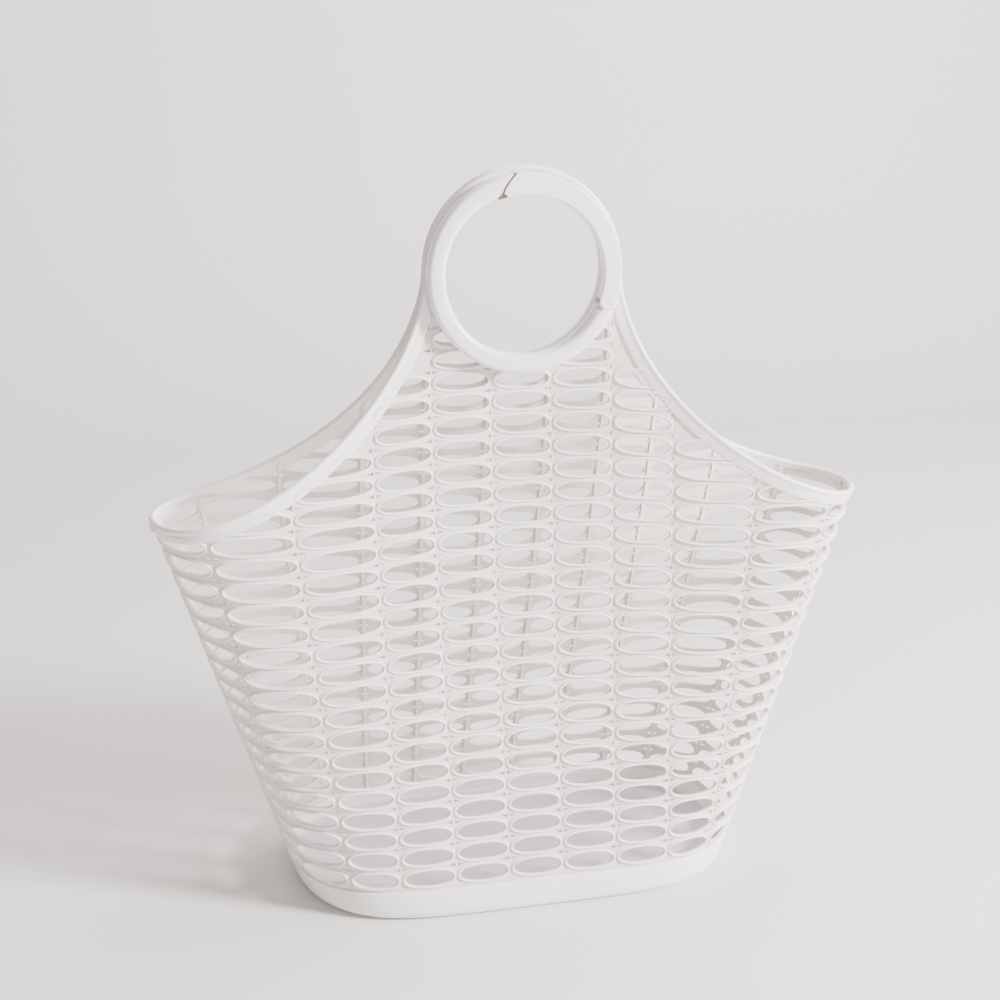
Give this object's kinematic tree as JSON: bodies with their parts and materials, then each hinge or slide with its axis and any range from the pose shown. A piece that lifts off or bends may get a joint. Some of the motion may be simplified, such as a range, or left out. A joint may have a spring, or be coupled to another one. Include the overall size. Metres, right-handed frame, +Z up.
{
  "type": "market basket",
  "caption": "Openwork moulded plastic market basket with a solid tray base, a rim that sweeps up to two ring handles, and a hinged clasp on the front ring.",
  "frame": {"origin": "centre of the tray's flat underside, on the surface it stands on", "axes": "+X along the basket's length, -Y towards the front ring with the clasp, +Z up"},
  "size_m": [0.4068, 0.1348, 0.407],
  "materials": {
    "lattice_white": "warm white satin moulded plastic",
    "rim_white": "warm white smooth moulded plastic",
    "grip_white": "cool white glossy moulded plastic",
    "tray_white": "cool lilac white satin moulded plastic"
  },
  "bodies": {
    "basket": {"base_tray": "tray_white", "front_lattice": "lattice_white", "back_lattice": "lattice_white", "left_end_lattice": "lattice_white", "right_end_lattice": "lattice_white", "left_end_rim": "rim_white", "right_end_rim": "rim_white"},
    "front_handle": {"front_handle_lattice": "lattice_white", "front_rim_left": "rim_white", "front_rim_right": "rim_white", "front_loop": "rim_white", "front_grip_ring": "grip_white", "clasp_pin": "grip_white"},
    "front_clasp": {"clasp_arc": "grip_white"},
    "back_handle": {"back_handle_lattice": "lattice_white", "back_rim_left": "rim_white", "back_rim_right": "rim_white", "back_loop": "rim_white", "back_grip_ring": "grip_white"}
  },
  "joints": [
    {"name": "front_handle_flex", "type": "hinge", "parent": "basket", "child": "front_handle", "pos_m": [0, -0.03783, 0.233], "axis": [1, 0, 0], "range_deg": [0, 22], "stiffness_Nm_per_rad": 2},
    {"name": "back_handle_flex", "type": "hinge", "parent": "basket", "child": "back_handle", "pos_m": [0, 0.03783, 0.233], "axis": [-1, 0, 0], "range_deg": [0, 22], "stiffness_Nm_per_rad": 2},
    {"name": "clasp_swing", "type": "hinge", "parent": "front_handle", "child": "front_clasp", "pos_m": [0.04513, -0.00875, 0.33521], "axis": [0, 1, 0], "range_deg": [0, 16]}
  ]
}
